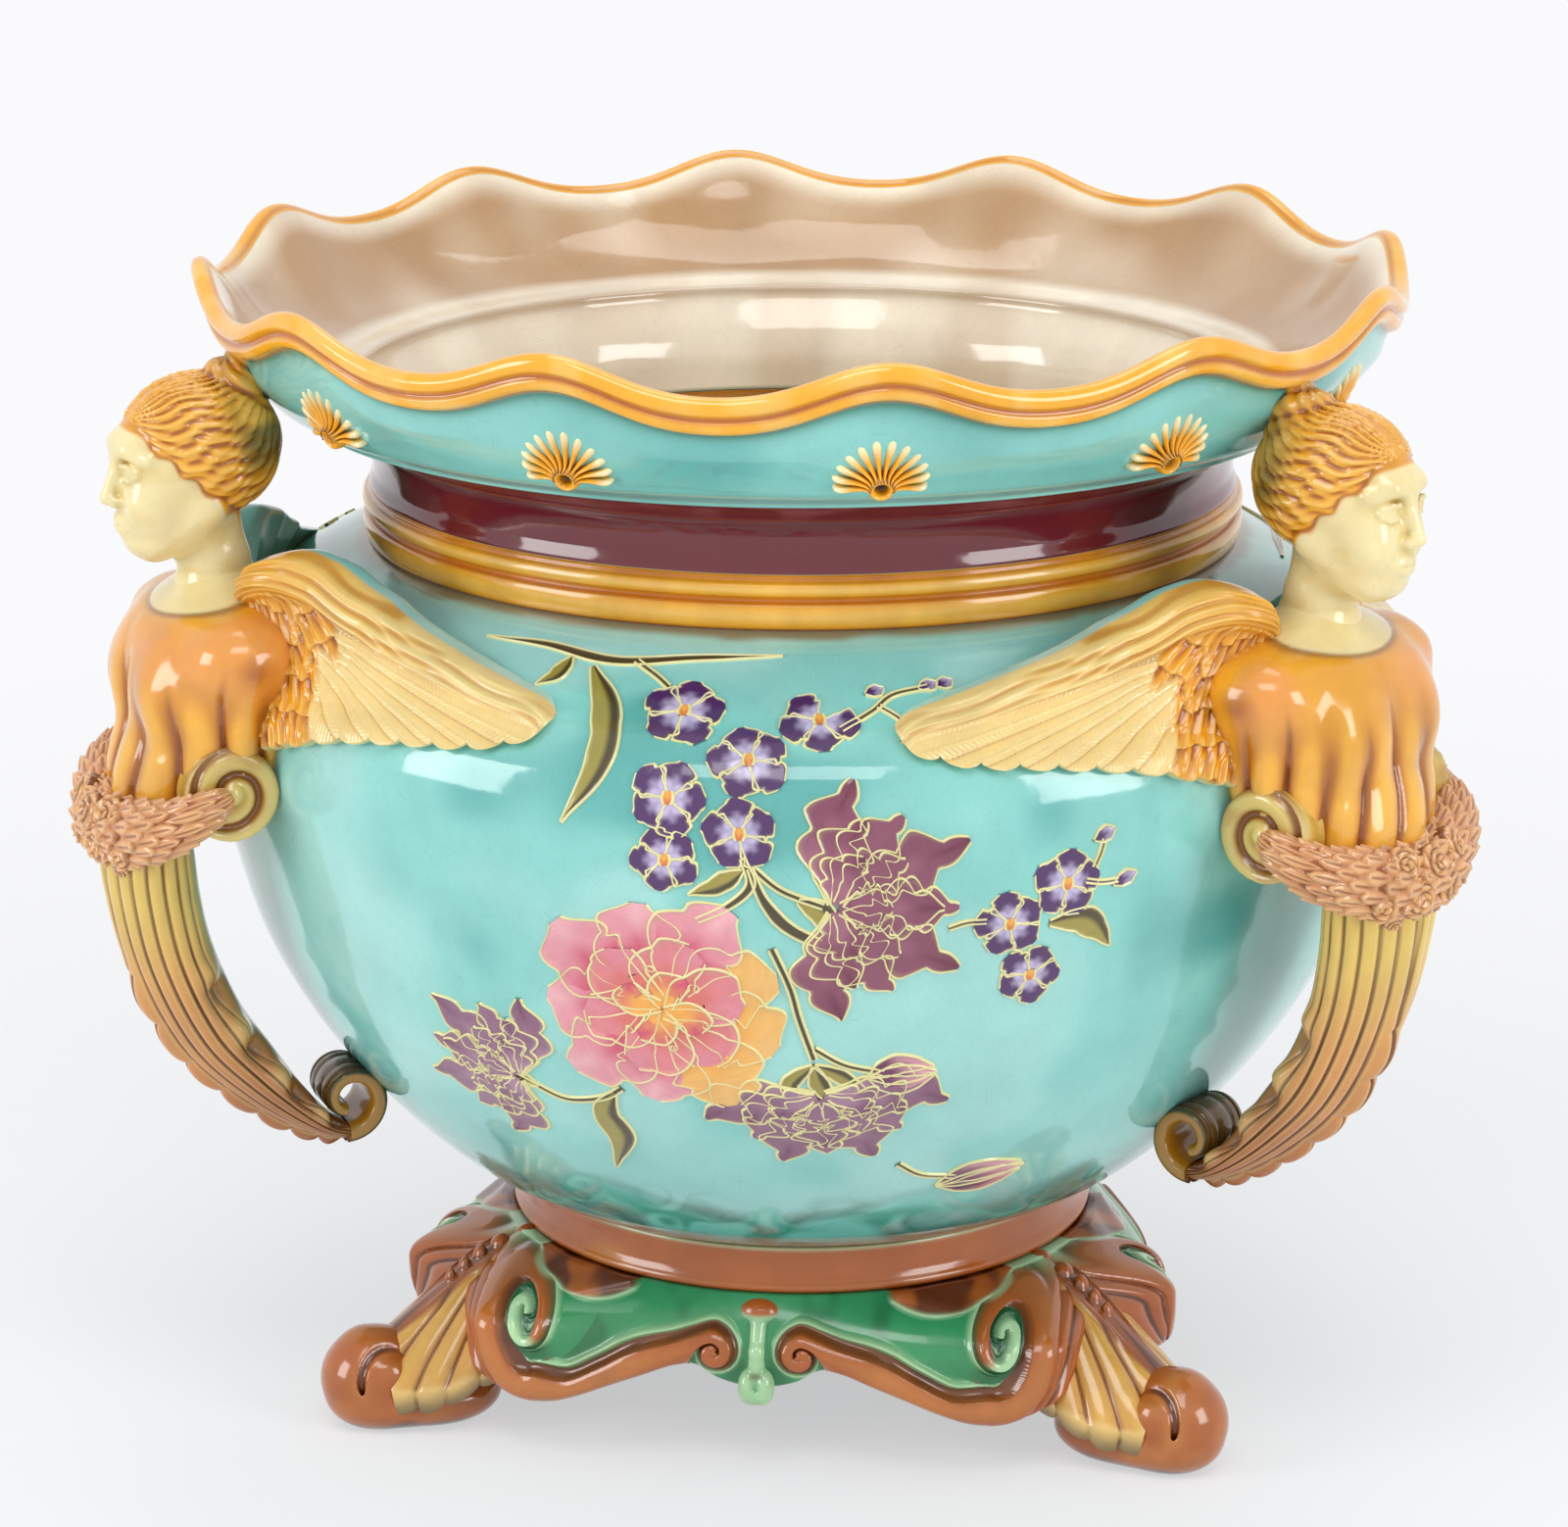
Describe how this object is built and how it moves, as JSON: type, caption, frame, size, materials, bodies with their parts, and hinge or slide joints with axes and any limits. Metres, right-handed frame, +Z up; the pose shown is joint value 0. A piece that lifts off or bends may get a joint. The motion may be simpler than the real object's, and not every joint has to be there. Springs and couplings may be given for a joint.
{
  "type": "jardiniere on stand",
  "caption": "Majolica style glazed earthenware jardiniere with winged half-figure handles, enamel flowers on a turquoise globe body and a flared wavy mouth, on its matching footed stand.",
  "frame": {"origin": "on the floor plane under the middle of the overall box; the turning axis of bowl and stand passes 26.5 mm in front of it, because one of the handles is at the rear", "axes": "+Z up, -Y the front, which looks between the two side handles, +X the right as seen from the front"},
  "size_m": [0.4662, 0.463, 0.4],
  "materials": {
    "turquoise_body": "glossy turquoise majolica glaze, pooled darker in the hollows, finely crazed",
    "mouth_glaze": "turquoise outside with a maroon neck, gold lip and cream inside, glossy",
    "ochre_trim": "glossy ochre yellow glaze with brown in the grooves",
    "amber_drapery": "glossy amber glaze running to cream at the wing feathers",
    "cream_skin": "glossy pale cream glaze, amber on the hair",
    "olive_brown": "glossy olive yellow glaze running to brown in the flutes",
    "rose_garland": "glossy pinkish brown glaze",
    "caramel_brown": "glossy caramel brown glaze",
    "amber_shell": "glossy amber glaze with brown flutes",
    "green_panel": "glossy leaf green glaze"
  },
  "bodies": {
    "stand": {"foot_knob_left": "caramel_brown", "foot_knob_rear": "caramel_brown", "foot_knob_right": "caramel_brown", "pendant_front": "green_panel", "pendant_left": "green_panel", "pendant_right": "green_panel", "scroll_front_a": "caramel_brown", "scroll_front_b": "caramel_brown", "scroll_left_a": "caramel_brown", "scroll_left_b": "caramel_brown", "scroll_right_a": "caramel_brown", "scroll_right_b": "caramel_brown", "stand_collar": "caramel_brown", "stand_leg_left": "amber_shell", "stand_leg_rear": "amber_shell", "stand_leg_right": "amber_shell", "stand_panel_front": "green_panel", "stand_panel_left": "green_panel", "stand_panel_right": "green_panel"},
    "bowl": {"acanthus_leaf_left": "olive_brown", "acanthus_leaf_rear": "olive_brown", "acanthus_leaf_right": "olive_brown", "bowl_globe": "turquoise_body", "bust_left": "amber_drapery", "bust_rear": "amber_drapery", "bust_right": "amber_drapery", "flared_mouth": "mouth_glaze", "garland_left": "rose_garland", "garland_rear": "rose_garland", "garland_right": "rose_garland", "head_left": "cream_skin", "head_rear": "cream_skin", "head_right": "cream_skin", "neck_ring": "ochre_trim", "palmette_01": "ochre_trim", "palmette_02": "ochre_trim", "palmette_03": "ochre_trim", "palmette_04": "ochre_trim", "palmette_05": "ochre_trim", "palmette_06": "ochre_trim", "palmette_07": "ochre_trim", "palmette_08": "ochre_trim", "palmette_09": "ochre_trim", "palmette_10": "ochre_trim", "palmette_11": "ochre_trim", "palmette_12": "ochre_trim", "waist_bracket_left": "olive_brown", "waist_bracket_rear": "olive_brown", "waist_bracket_right": "olive_brown", "wing_left_left": "amber_drapery", "wing_left_rear": "amber_drapery", "wing_left_right": "amber_drapery", "wing_right_left": "amber_drapery", "wing_right_rear": "amber_drapery", "wing_right_right": "amber_drapery"}
  },
  "joints": [
    {"name": "bowl_lift", "type": "slide", "parent": "stand", "child": "bowl", "axis": [0, 0, 1], "range_m": [0, 0.08]}
  ]
}
